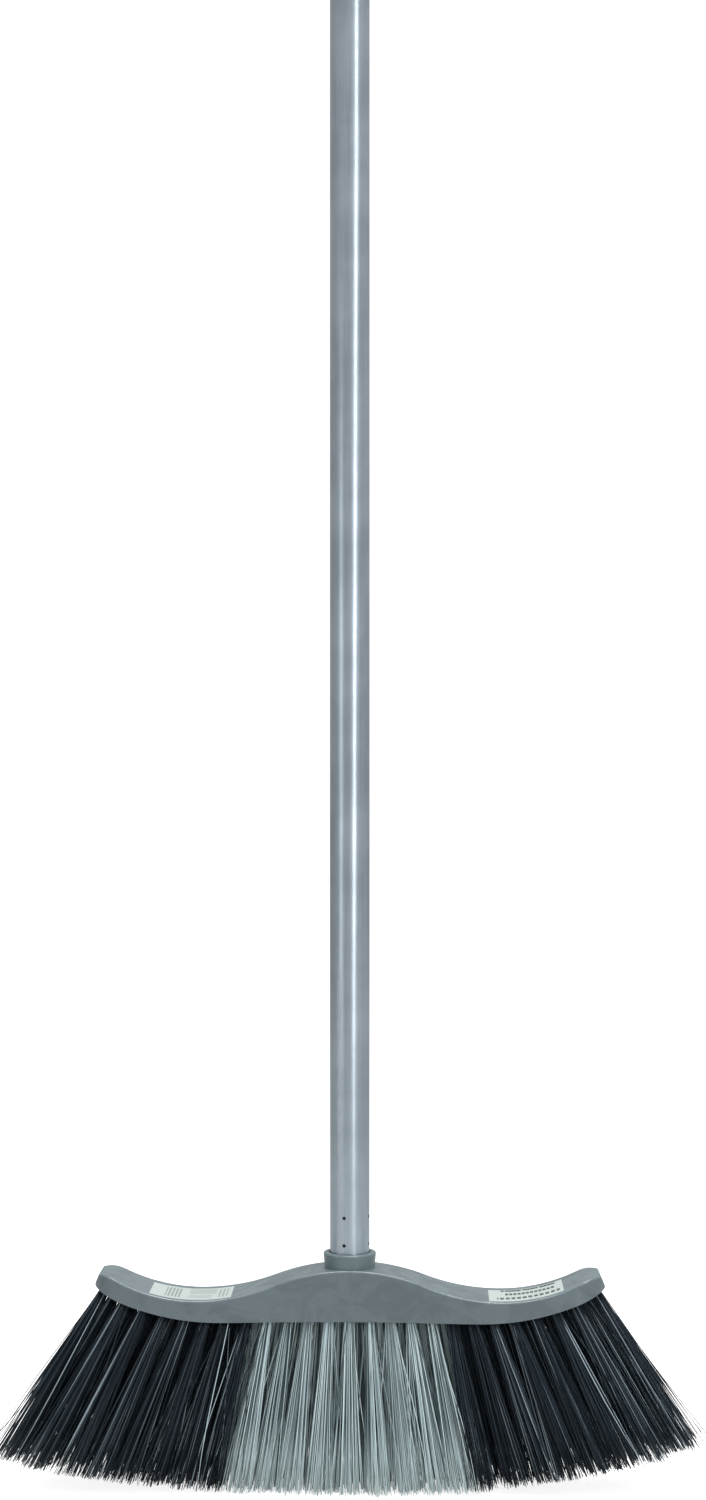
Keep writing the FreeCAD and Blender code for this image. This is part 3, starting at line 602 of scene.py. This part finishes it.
def growTufts(name, tufts, strand, tones, material, replaced, seed):
    # all strands of one row and colour as one piece, each strand a copy of the modelled one
    template, faces = strand
    rng = np.random.default_rng(seed)
    points, shades = [], []
    for tuft in tufts:
        tuftPoints, tuftShades = bundle(tuft, template, tones, rng)
        points.append(tuftPoints)
        shades.extend(tuftShades)
    count, size = len(shades), len(template)
    allFaces = [[i + copy * size for i in face] for copy in range(count) for face in faces]
    mesh = bpy.data.meshes.new(name)
    mesh.from_pydata(np.concatenate(points).tolist(), [], allFaces)
    for attribute, values in (("strandTone", np.repeat(shades, size)),
                              ("strandLength", np.tile(template[:, 2], count))):
        layer = mesh.attributes.new(attribute, "FLOAT", "POINT")
        layer.data.foreach_set("value", values.astype(np.float32))
    mapStrands(mesh, template, count)
    mesh.materials.append(material)
    mesh.validate()
    piece = bpy.data.objects.new(name, mesh)
    bpy.context.scene.collection.objects.link(piece)
    piece.data.shade_smooth()
    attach(piece, "head")
    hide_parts(replaced)


def plantAllTufts():
    plastics = {"black": filamentPlastic("blackPolypropyleneFilament", filament["black"]),
                "grey": filamentPlastic("lightGreyPolypropyleneFilament", filament["grey"])}
    strand = modelStrand()
    limit = filament["lightHalfWidth"]
    seed = filament["firstSeed"]
    total = 0
    for row in rows:
        tufts = tuftRoots("anchors_" + row)
        zones = {"left": [t for t in tufts if t[0][0] < -limit],
                 "centre": [t for t in tufts if abs(t[0][0]) <= limit],
                 "right": [t for t in tufts if t[0][0] > limit]}
        for step, (zone, members) in enumerate(zones.items()):
            colour = "grey" if zone == "centre" else "black"
            growTufts("bristles_%s_%s" % (row, zone), members, strand,
                      filament[colour]["tones"], plastics[colour],
                      "tufts_%s_%s" % (row, zone), seed + step)
            total += len(members)
        seed += filament["seedStep"]
    print("tufts planted:", total)


plantAllTufts()


# studio: pale floor, white backdrop, one large soft light above and two weaker ones

studio = {
    "distance": 1461 * mm,     # camera to the handle's axis
    "azimuth": 1.5,            # degrees to the right of straight on
    "aboveFloor": 408.5 * mm,
    "axisLeft": 1.8 * mm,      # the handle stands a little left of the middle
    "lens": 63.1,              # focal length on a sensor this wide, both in mm
    "sensor": 36,
    "seesTo": 100,             # metres
    "floorSize": 30,           # metres
    "floorColour": "#b4b4b4",
    "floorGlow": 0.85,         # lifts the floor towards the white of the backdrop
    "roomLight": 0.45,         # even light from all round
    "backdropLight": 1.05,     # what stands behind the broom
    # name, place, aimed at, width and height, power, lean in degrees
    "softboxes": [
        ("stripRight", (0.88, -1.32, 0.72), (0, 0, 0.55), (0.28, 1.6), 11, -24),
        ("softboxLeft", (-1.3, -1.1, 0.35), (0, 0, 0.15), (0.5, 0.8), 2.6, 0),
        ("softboxAbove", (0.1, 0.0, 2.6), (0, 0, 0.1), (1.6, 1.2), 86, 0),
    ],
}
white = "#ffffff"


def buildFloor():
    # matt paint with a glow for the camera only, so it lights nothing
    bpy.ops.object.select_all(action="DESELECT")
    bpy.ops.mesh.primitive_plane_add(size=studio["floorSize"], location=(0, 0, 0))
    floor = bpy.context.object
    floor.name = "paleFloor"
    material, shader = newMaterial("paleFloorPaint", {"IOR": 1.45, "Roughness": 0.9,
                                                      "Base Color": studio["floorColour"],
                                                      "Emission Color": white})
    seen = addNode(material, "LightPath")
    glow = addNode(material, "Math", {0: (seen, "Is Camera Ray"), 1: studio["floorGlow"]},
                   operation="MULTIPLY")
    setInputs(material, shader, {"Emission Strength": glow})
    floor.data.materials.append(material)


def lightRoom():
    world = bpy.data.worlds.new("whiteStudio")
    bpy.context.scene.world = world
    world.use_nodes = True
    room = world.node_tree.nodes["Background"]
    setInputs(world, room, {"Color": white, "Strength": studio["roomLight"]})
    backdrop = addNode(world, "Background", {"Color": white,
                                             "Strength": studio["backdropLight"]})
    seen = addNode(world, "LightPath")
    choice = addNode(world, "MixShader", {"Fac": (seen, "Is Camera Ray"), 1: room, 2: backdrop})
    setInputs(world, world.node_tree.nodes["World Output"], {"Surface": choice})


def hangSoftboxes():
    for name, place, target, size, power, lean in studio["softboxes"]:
        bpy.ops.object.light_add(type="AREA", location=place)
        lamp = bpy.context.object
        lamp.name = name
        lamp.data.shape = "RECTANGLE"
        lamp.data.size, lamp.data.size_y = size
        lamp.data.energy = power
        turn = (Vector(target) - Vector(place)).to_track_quat("-Z", "Y").to_euler()
        turn.rotate_axis("Z", math.radians(lean))
        lamp.rotation_euler = turn


def placeCamera():
    # level, looking at the handle from a little to its right
    turn = math.radians(studio["azimuth"])
    forward = Vector((-math.sin(turn), math.cos(turn), 0))
    right = Vector((math.cos(turn), math.sin(turn), 0))
    data = bpy.data.cameras.new("camera")
    data.lens = studio["lens"]
    data.sensor_width = studio["sensor"]
    data.clip_end = studio["seesTo"]
    camera = bpy.data.objects.new("camera", data)
    bpy.context.scene.collection.objects.link(camera)
    camera.location = (-forward * studio["distance"] + right * studio["axisLeft"]
                       + Vector((0, 0, studio["aboveFloor"])))
    camera.rotation_euler = (math.radians(90), 0, turn)
    bpy.context.scene.camera = camera


buildFloor()
lightRoom()
hangSoftboxes()
placeCamera()
bpy.context.scene.view_settings.view_transform = "Standard"
print("studio ready")
